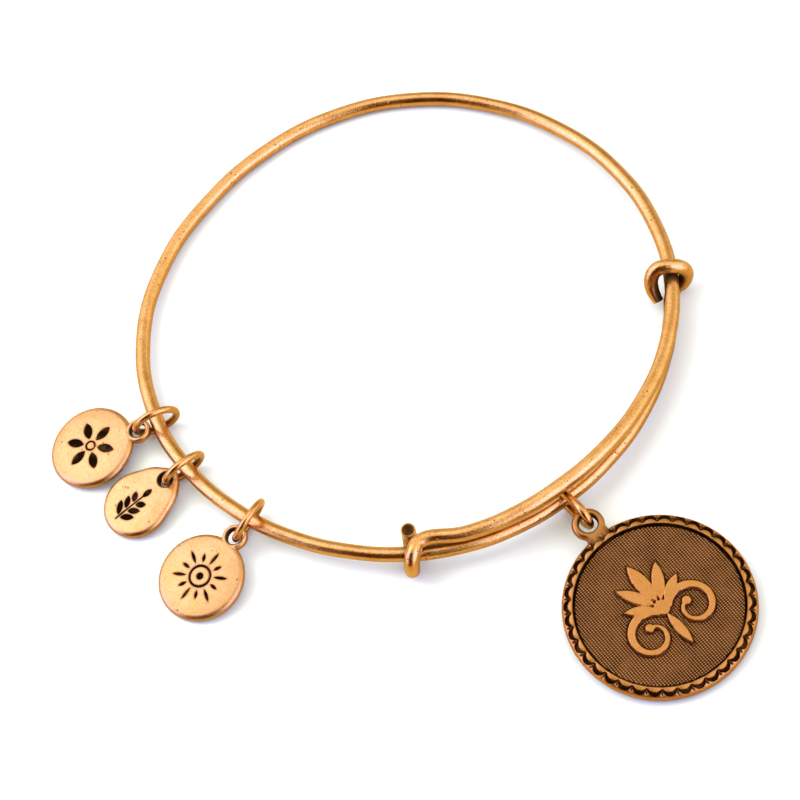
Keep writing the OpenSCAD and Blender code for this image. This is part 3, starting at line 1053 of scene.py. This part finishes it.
bodyTarnishAndShade = {
    "creaseShade": (0.6, 0, 0.5),  # painted shade in the crease where the lug meets the disc, by the radius
    "jointIn": 0.1,
    "jointSide": (1, 2, 2.6),
    "lug": 0.22,
    # painted shade on the underside and the lower half of the rim
    "under": 0.3,
    "grooveR": 9.92,
}


def borderAt(x, y):
    # how deep the border is cut at a place, and how dark it is there
    r = math.hypot(x, y)
    if r < border["from"] or r > border["to"]:
        return 0, 0
    step = 2 * math.pi / medallion["repeats"]
    a = (math.atan2(y, x) - math.pi / 2) % step - step / 2
    across, up = r * math.sin(a), r * math.cos(a)
    scale = discDistance(across, up, 0, border["scaleAt"], border["scaleR"])
    moon = discDistance(across, up, 0, border["moonAt"], border["moonR"])
    cut = eased(min(-moon, scale) / border["moonSlope"] + border["moonSpread"])
    away = r * (step / 2 - abs(a))
    run = max(border["tickFrom"] - r, r - border["tickTo"])
    tick = eased(1 - away / border["tickWidth"]) * eased(-run / border["tickFade"])
    depth = max(border["moonDepth"] * cut, border["tickDepth"] * tick)
    dark = max(cut, border["tickDark"] * tick)
    if scale < 0:
        depth += border["domeDepth"] * eased(1 + scale / border["domeRun"])
        dark = max(dark, shaded(r, *border["scaleTarnish"]))
    return depth, dark


def makeMedallionBody(place):
    r, thick, step, lug = (medallion[key] for key in ("r", "thick", "ringStep", "lug"))
    flat = r - thick / 2
    rings = int((flat - medallion["wall"][1][0]) / step)
    top = [(flat - step * k, thick) for k in range(rings, 0, -1)]
    profile = ([(0, medallion["pocketZ"]), *medallion["wall"]] + top
               + roundedEdge(r, thick, medallion["edgeSteps"]) + [(flat / 2, 0), (0, 0)])
    bm = bmesh.new()
    spinProfile(bm, profile, medallion["repeats"] * medallion["stepsEach"])
    for v in bm.verts:
        if v.co.z > thick / 2:
            v.co.z -= borderAt(v.co.x, v.co.y)[0]
    mesh = addLug(plainMesh("medallionBody", bm), lug, r, thick / 2)

    def patinaAndShadeOf(co):
        # painted shade in the crease at the lug and on the underside, painted shade and tarnish in
        # the lug's hole, dark in the groove and across the border's pattern
        away = math.hypot(co.x, co.y)
        creaseShade = 0
        if co.y > 0:
            creaseShade = (shaded(abs(away - r + bodyTarnishAndShade["jointIn"]), *bodyTarnishAndShade["creaseShade"])
                     * shaded(abs(co.x), *bodyTarnishAndShade["jointSide"]))
        if away > r:
            return max(holeShadeAndPatina(co, lug["at"], lug["hole"]), bodyTarnishAndShade["lug"], creaseShade)
        if co.z < thick / 2:
            return bodyTarnishAndShade["under"]
        if away < bodyTarnishAndShade["grooveR"]:
            return 1
        return max(borderAt(co.x, co.y)[1], creaseShade)

    mesh = toMesh("medallionBody", cleanedCopy(mesh), place, patinaAndShadeOf)
    addPiece("medallionBody", mesh, "medallionBronze", "medallion")


weave = {
    "pitch": (0.32, 0.26), "depth": 0.11, "samples": 4,
    "powers": (0.5, 1.1),  # along a thread and across it: how round it is
    "rimFade": 0.12, "rimKeep": 0.4,  # the second in steps of the grid, past the field's edge
    "dark": 0.97, "clean": 0.93,
    "cleanFrom": 0.40, "cleanRun": 0.50,  # heights of a thread where it is rubbed clean
    "clouds": 0.22, "cloudScale": 0.3, "cloudLayer": 2,
    "besideRun": 0.22, "edgeRun": 0.1,  # painted shadow and tarnish beside the ornament and on its edge
    "skirt": 0.1,
    "sharp": 60,
}
ornament = {
    "height": 0.45,
    "wall": 0.17,
    "knotAt": -0.45, "knotR": 1.05,
    "petalFoot": 0.6,
    "petals": ((0, 6, 2), (31, 5.2, 1.7), (61, 4, 1.4)),  # turn, length, width
    "tail": (5.2, 1.4),
    "voluteAt": (2.95, -2.5), "voluteFrom": 145, "voluteSweep": 400,
    "voluteR": (3, 1), "voluteWidth": (1.3, 0.6),
    "ballR": 0.64,
}


def voluteDistance(x, y):
    cx, cy = ornament["voluteAt"]
    (r0, r1), (w0, w1) = ornament["voluteR"], ornament["voluteWidth"]
    start, sweep = ornament["voluteFrom"], ornament["voluteSweep"]
    r, a = math.hypot(x - cx, y - cy), math.degrees(math.atan2(y - cy, x - cx))
    end = math.radians(start - sweep)
    ballX, ballY = cx + r1 * math.cos(end), cy + r1 * math.sin(end)
    nearest = discDistance(x, y, ballX, ballY, ornament["ballR"])
    for turn in (a, a - 360, a + 360):
        share = (start - turn) / sweep
        if 0 <= share <= 1:
            off = abs(r - r0 - (r1 - r0) * share)
            nearest = min(nearest, off - (w0 + (w1 - w0) * share) / 2)
    return nearest


def ornamentFigure(x, y):
    x, up, foot = abs(x), ornament["knotAt"], ornament["petalFoot"]
    nearest = min(voluteDistance(x, y), discDistance(x, y, 0, up, ornament["knotR"]),
                  petalDistance(x, y, 180, foot, *ornament["tail"], 0, up))
    for turn, length, width in ornament["petals"]:
        nearest = min(nearest, petalDistance(x, y, -turn, foot, length, width, 0, up))
    return nearest


def threadAt(x, y):
    # plain weave: one thread lies over in every second square, its neighbour across
    u, v = x / weave["pitch"][0], y / weave["pitch"][1]
    i, j = math.floor(u), math.floor(v)
    a, b = math.sin(math.pi * (u - i)), math.sin(math.pi * (v - j))
    if (i + j) % 2:
        a, b = b, a
    along, across = weave["powers"]
    return a ** along * b ** across


def fieldAt(x, y):
    # height above the middle of the weave, and how dark it is there
    away = ornamentFigure(x, y)
    rise = eased(-away / ornament["wall"])
    rim = eased((medallion["fieldR"] - math.hypot(x, y)) / weave["rimFade"])
    thread = threadAt(x, y) * rim
    height = weave["depth"] * (thread - 0.5) * (1 - rise) + ornament["height"] * rise
    # painted shadow and tarnish on the ornament's edge
    if away <= 0:
        return height, weave["dark"] * (1 - eased(-away / weave["edgeRun"]))
    scale = weave["cloudScale"]
    swell = noise.noise(Vector((x * scale, y * scale, weave["cloudLayer"])))
    clean = weave["clean"] * eased((thread - weave["cleanFrom"]) / weave["cleanRun"])
    # painted shadow and tarnish beside the ornament
    beside = weave["dark"] * eased(1 - away / weave["besideRun"])
    return height, max(weave["dark"] - clean * (1 + weave["clouds"] * swell), beside)


def makeMedallionField(place):
    r = medallion["fieldR"]
    stepX, stepY = (pitch / weave["samples"] for pitch in weave["pitch"])
    countX, countY = 2 * math.ceil(r / stepX) + 2, 2 * math.ceil(r / stepY) + 2
    bm = bmesh.new()
    bmesh.ops.create_grid(bm, x_segments=countX, y_segments=countY, size=1)
    bmesh.ops.scale(bm, vec=(countX * stepX / 2, countY * stepY / 2, 1), verts=bm.verts)
    outside = [v for v in bm.verts if v.co.length > r + weave["rimKeep"] * stepX]
    bmesh.ops.delete(bm, geom=outside, context="VERTS")
    loose = [v for v in bm.verts if len(v.link_faces) < 2]
    bmesh.ops.delete(bm, geom=loose, context="VERTS")
    rim = [e for e in bm.edges if e.is_boundary]
    for v in {v for e in rim for v in e.verts}:
        v.co *= r / v.co.length
    for v in bm.verts:
        v.co.z = medallion["fieldZ"] + fieldAt(v.co.x, v.co.y)[0]
    skirt = bmesh.ops.extrude_edge_only(bm, edges=rim)["geom"]
    for v in (g for g in skirt if isinstance(g, bmesh.types.BMVert)):
        v.co.z = medallion["pocketZ"] - weave["skirt"]
    fillHoles(bm)

    def patinaAndShadeOf(co):
        return fieldAt(co.x, co.y)[1]

    mesh = toMesh("medallionField", bm, place, patinaAndShadeOf, weave["sharp"])
    addPiece("medallionField", mesh, "medallionBronze", "medallion")


medallionPlace = layFlat(
    *medallion["place"], medallion["tilt"], medallion["r"], medallion["thick"])
makeMedallionBody(medallionPlace)
makeMedallionField(medallionPlace)
print("medallion made")


# Painted shade and tarnish where other metal is close: rays from each point count what stands near
# it

nearMetalShadeAndTarnish = {
    "rays": 26,
    "reach": 2.6,
    "lift": 0.03,  # rays start a little off the surface
    "grazing": 0.15,  # flatter rays don't count
    "from": 0.22, "to": 0.66,  # shares of near metal where the painted shade and tarnish begin and are full
    "most": 0.8,
    "leftOut": ("medallionField",),  # its own tarnish and painted shadow say it all
}


def sphereDirections(count):
    # evenly spread, along a spiral from pole to pole
    turn = math.pi * (3 - math.sqrt(5))
    rows = []
    for k in range(count):
        z = 1 - (2 * k + 1) / count
        r = math.sqrt(1 - z * z)
        rows.append(Vector((r * math.cos(turn * k), r * math.sin(turn * k), z)))
    return rows


def addPaintedShadeAndTarnish(pieces):
    corners, faces = [], []
    for piece in pieces:
        first = len(corners)
        corners += [v.co / mm for v in piece.data.vertices]
        faces += [[first + k for k in p.vertices] for p in piece.data.polygons]
    tree = BVHTree.FromPolygons(corners, faces)
    directions = sphereDirections(nearMetalShadeAndTarnish["rays"])
    reach, low, high = (nearMetalShadeAndTarnish[key] for key in ("reach", "from", "to"))
    for piece in pieces:
        if piece.name in nearMetalShadeAndTarnish["leftOut"]:
            continue
        layer = piece.data.attributes["patinaAndPaintedShade"].data
        for v in piece.data.vertices:
            start = v.co / mm + v.normal * nearMetalShadeAndTarnish["lift"]
            total = near = 0
            for d in directions:
                weight = d.dot(v.normal)
                if weight < nearMetalShadeAndTarnish["grazing"]:
                    continue
                total += weight
                hit = tree.ray_cast(start, d, reach)[3]
                if hit is not None:
                    near += weight * (1 - hit / reach)
            dark = nearMetalShadeAndTarnish["most"] * eased((near / total - low) / (high - low))
            layer[v.index].value = max(layer[v.index].value, dark)


addPaintedShadeAndTarnish([obj for obj in scene.objects
            if obj.type == "MESH" and "patinaAndPaintedShade" in obj.data.attributes])
print("tarnish laid")
